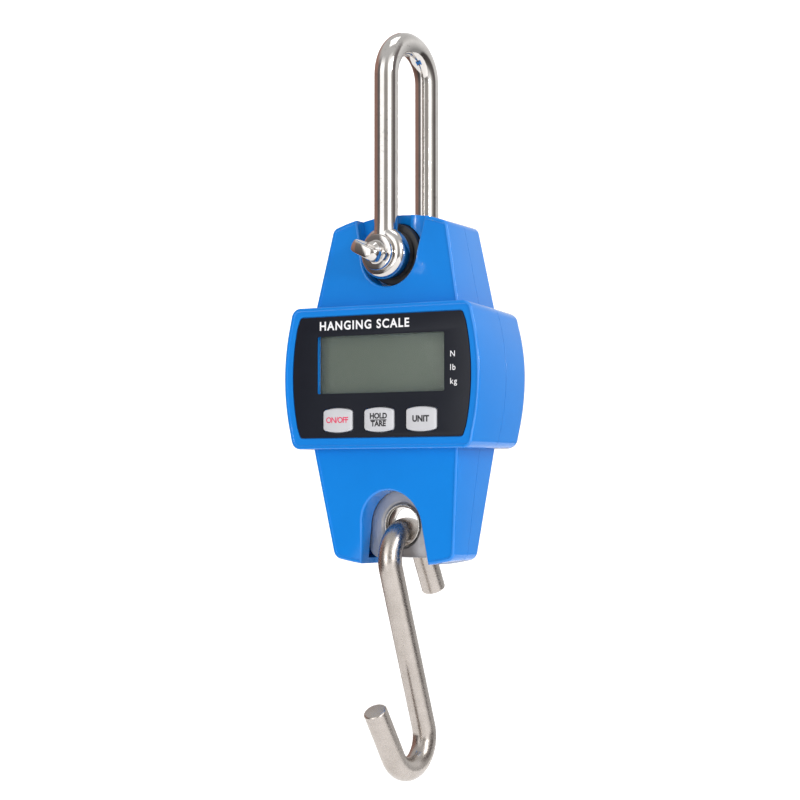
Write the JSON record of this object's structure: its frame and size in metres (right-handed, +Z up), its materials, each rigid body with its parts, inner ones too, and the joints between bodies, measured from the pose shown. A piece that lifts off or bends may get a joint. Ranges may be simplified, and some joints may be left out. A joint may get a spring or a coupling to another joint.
{
  "type": "crane scale",
  "caption": "Hand-size hanging scale with a long screw-pin shackle, a tapered plastic housing with display and push keys, and an S-shaped load hook that swivels.",
  "frame": {"origin": "inner crown of the shackle, on its middle plane, where the scale is hung from", "axes": "+Z up along the line of pull, +X to the right of the display, +Y from the display towards the back"},
  "size_m": [0.0786, 0.0467, 0.2522],
  "materials": {
    "blue": "semi-gloss blue moulded plastic",
    "panel": "black printed film",
    "clear": "clear window",
    "lcd": "grey-green liquid crystal cell",
    "diffuser": "milky diffuser",
    "rubber": "black rubber",
    "key": "light grey moulded key",
    "board": "green circuit board",
    "chip": "black resin",
    "foil": "foil on amber film",
    "red": "red wire sleeve",
    "battery": "plain jacket, stands for the whole battery",
    "spring": "nickel-plated spring steel",
    "screw": "zinc-plated steel",
    "shackle": "polished stainless steel",
    "hook": "satin stainless steel",
    "cell": "bare machined steel",
    "washer": "black nylon"
  },
  "bodies": {
    "shackle": {"shackle_bow": "shackle"},
    "housing": {"adc_chip": "chip", "battery_1": "battery", "battery_2": "battery", "battery_3": "battery", "battery_lead_black": "rubber", "battery_lead_red": "red", "contact_plate_left_lower": "spring", "contact_plate_left_upper": "spring", "contact_plate_right_lower": "spring", "contact_plate_right_upper": "spring", "contact_spring_1": "spring", "contact_spring_2": "spring", "contact_spring_3": "spring", "controller_chip": "chip", "crystal_can": "screw", "display_window": "clear", "front_shell": "blue", "gauge_wire_left": "board", "gauge_wire_right": "board", "housing_screw_lower_left": "screw", "housing_screw_lower_right": "screw", "housing_screw_middle_left": "screw", "housing_screw_middle_right": "screw", "housing_screw_upper_left": "screw", "housing_screw_upper_right": "screw", "lcd_backlight": "diffuser", "lcd_cell": "lcd", "load_cell": "cell", "load_cell_screw_left": "screw", "load_cell_screw_right": "screw", "main_pcb": "board", "overlay_panel": "panel", "pcb_screw_lower_left": "screw", "pcb_screw_lower_right": "screw", "pcb_screw_upper_left": "screw", "pcb_screw_upper_right": "screw", "rear_shell": "blue", "retaining_ring": "spring", "spacer_washer_front": "washer", "spacer_washer_rear": "washer", "strain_gauge_left": "foil", "strain_gauge_right": "foil", "tact_switch_left": "chip", "tact_switch_middle": "chip", "tact_switch_right": "chip", "zebra_strip": "rubber"},
    "pin": {"shackle_pin": "shackle"},
    "swivel": {"hook_bush": "shackle"},
    "hook": {"hook": "hook"},
    "key_power": {"button_power": "key"},
    "key_hold_tare": {"button_hold_tare": "key"},
    "key_unit": {"button_unit": "key"},
    "door": {"battery_door": "blue"}
  },
  "joints": [
    {"name": "housing_swing", "type": "hinge", "parent": "shackle", "child": "housing", "pos_m": [0, 0, -0.068], "axis": [0, 1, 0], "range_deg": [-30, 30]},
    {"name": "pin_turn", "type": "hinge", "parent": "shackle", "child": "pin", "pos_m": [0, 0, -0.068], "axis": [0, 1, 0], "continuous": true},
    {"name": "hook_swivel", "type": "hinge", "parent": "housing", "child": "swivel", "pos_m": [0, 0, -0.1586], "axis": [0, 1, 0], "range_deg": [-25, 25]},
    {"name": "hook_rock", "type": "hinge", "parent": "swivel", "child": "hook", "pos_m": [0, 0, -0.17], "axis": [1, 0, 0], "range_deg": [-18, 18]},
    {"name": "power_press", "type": "slide", "parent": "housing", "child": "key_power", "axis": [0, 1, 0], "range_m": [0, 0.0005], "stiffness_N_per_m": 1000, "springref_m": -0.0005},
    {"name": "hold_tare_press", "type": "slide", "parent": "housing", "child": "key_hold_tare", "axis": [0, 1, 0], "range_m": [0, 0.0005], "stiffness_N_per_m": 1000, "springref_m": -0.0005},
    {"name": "unit_press", "type": "slide", "parent": "housing", "child": "key_unit", "axis": [0, 1, 0], "range_m": [0, 0.0005], "stiffness_N_per_m": 1000, "springref_m": -0.0005},
    {"name": "door_lift", "type": "slide", "parent": "housing", "child": "door", "axis": [0, 1, 0], "range_m": [0, 0.03]}
  ]
}
